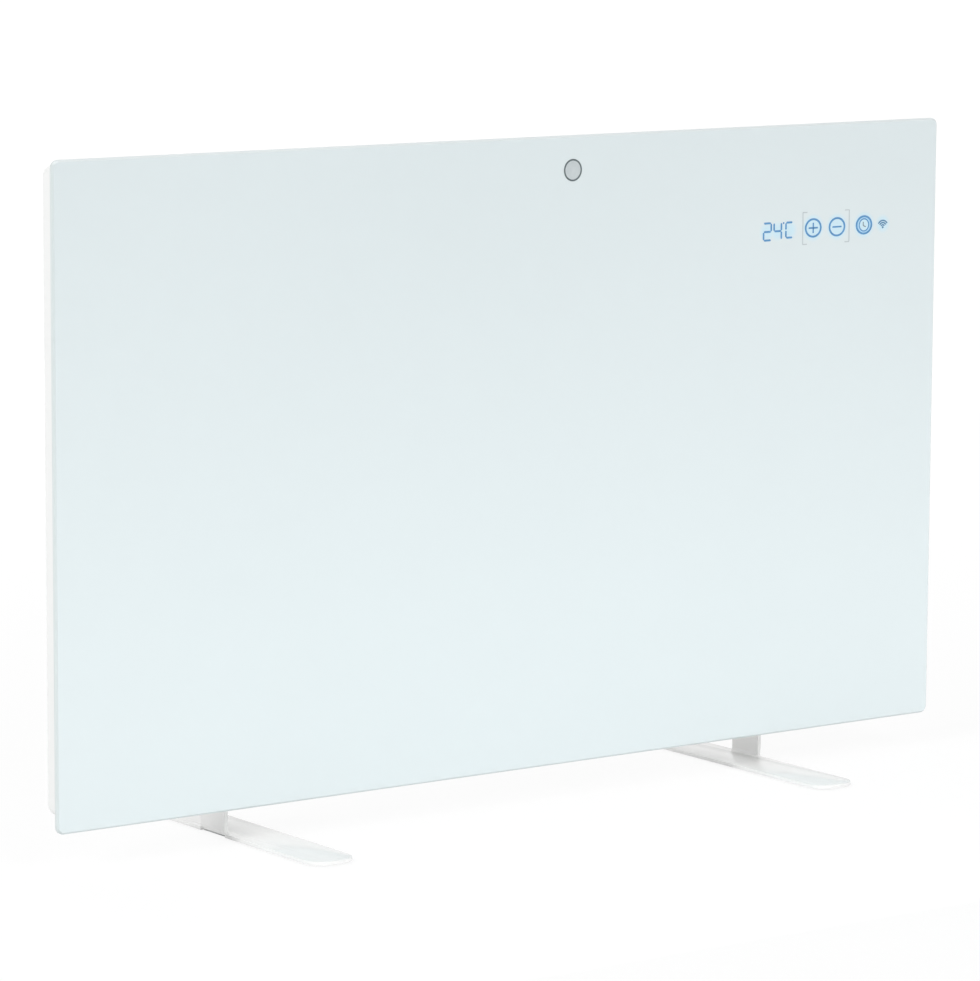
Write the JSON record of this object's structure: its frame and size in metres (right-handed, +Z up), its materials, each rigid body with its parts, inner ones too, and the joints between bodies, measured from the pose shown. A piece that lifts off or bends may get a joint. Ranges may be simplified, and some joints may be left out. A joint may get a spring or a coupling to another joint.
{
  "type": "infrared panel heater",
  "caption": "Free-standing infrared panel heater: a white glass front on a slim steel tray, touch keys, a control box behind and two bent steel feet.",
  "frame": {"origin": "on the floor, in the middle of the heater's outline seen from above, under the rubber strips of the feet", "axes": "+X along the panel, towards the side with the touch keys; -Y is the side that the glass faces; +Z up"},
  "size_m": [0.85, 0.28, 0.527],
  "materials": {
    "white_glass": "polished face, painted white on its back, ground edges",
    "tray_paint": "satin white powder coat",
    "foot_paint": "gloss white powder coat",
    "white_plastic": "fine spark texture",
    "black_plastic": "fine matt texture",
    "blue_plastic": "smooth",
    "yellow_plastic": "smooth",
    "green_board": "solder mask over glass fibre",
    "wire_red": "silicone insulation",
    "mica": "pressed mica sheet",
    "carbon_film": "printed carbon heating film",
    "fibre_board": "pressed mineral fibre",
    "silicone": "cured silicone bead",
    "foot_rubber": "matt pale grey rubber",
    "foil": "bright foil",
    "zinc_steel": "clear zinc plating",
    "copper": "bare copper",
    "brass": "turned brass",
    "lit_blue": "light guide, lit blue from behind"
  },
  "bodies": {
    "heater": {"glass_front": "white_glass", "heating_film": "carbon_film", "film_insulator": "mica", "reflector_foil": "foil", "insulation_board": "fibre_board", "bus_bar_left": "copper", "bus_bar_right": "copper", "overheat_cutout": "black_plastic", "seal_frame": "silicone", "rail_top": "zinc_steel", "rail_bottom": "zinc_steel", "rail_left": "zinc_steel", "rail_right": "zinc_steel", "rear_tray": "tray_paint", "cover_screw_top_1": "zinc_steel", "cover_screw_top_2": "zinc_steel", "cover_screw_top_3": "zinc_steel", "cover_screw_bottom_1": "zinc_steel", "cover_screw_bottom_2": "zinc_steel", "cover_screw_bottom_3": "zinc_steel", "display_carrier": "white_plastic", "touch_board": "green_board", "digit_display": "black_plastic", "key_light_guide": "lit_blue", "touch_rings": "copper", "wireless_module": "zinc_steel", "control_box": "white_plastic", "box_screw_left": "zinc_steel", "box_screw_right": "zinc_steel", "switch_body": "black_plastic", "cable_gland": "white_plastic", "gland_nut": "white_plastic", "cord_clamp": "white_plastic", "terminal_block": "white_plastic", "tilt_switch": "blue_plastic", "earth_stud": "brass", "board_carrier": "white_plastic", "power_board": "green_board", "relay": "blue_plastic", "transformer": "yellow_plastic", "filter_capacitor": "yellow_plastic", "smoothing_capacitor": "black_plastic", "fuse": "zinc_steel", "air_sensor": "black_plastic", "heater_wire_left": "wire_red", "cutout_wire": "wire_red", "heater_wire_right": "wire_red", "signal_cable": "black_plastic", "sensor_wire": "black_plastic", "left_foot": "foot_paint", "right_foot": "foot_paint", "left_foot_pad": "foot_rubber", "right_foot_pad": "foot_rubber", "left_foot_nut_plate": "zinc_steel", "right_foot_nut_plate": "zinc_steel", "left_foot_screw_lower": "zinc_steel", "left_foot_screw_upper": "zinc_steel", "right_foot_screw_lower": "zinc_steel", "right_foot_screw_upper": "zinc_steel"},
    "rocker": {"switch_rocker": "black_plastic"}
  },
  "joints": [
    {"name": "mains_rocker", "type": "hinge", "parent": "heater", "child": "rocker", "pos_m": [0.4073, 0, 0.129], "axis": [0, -1, 0], "range_deg": [0, 16]}
  ]
}
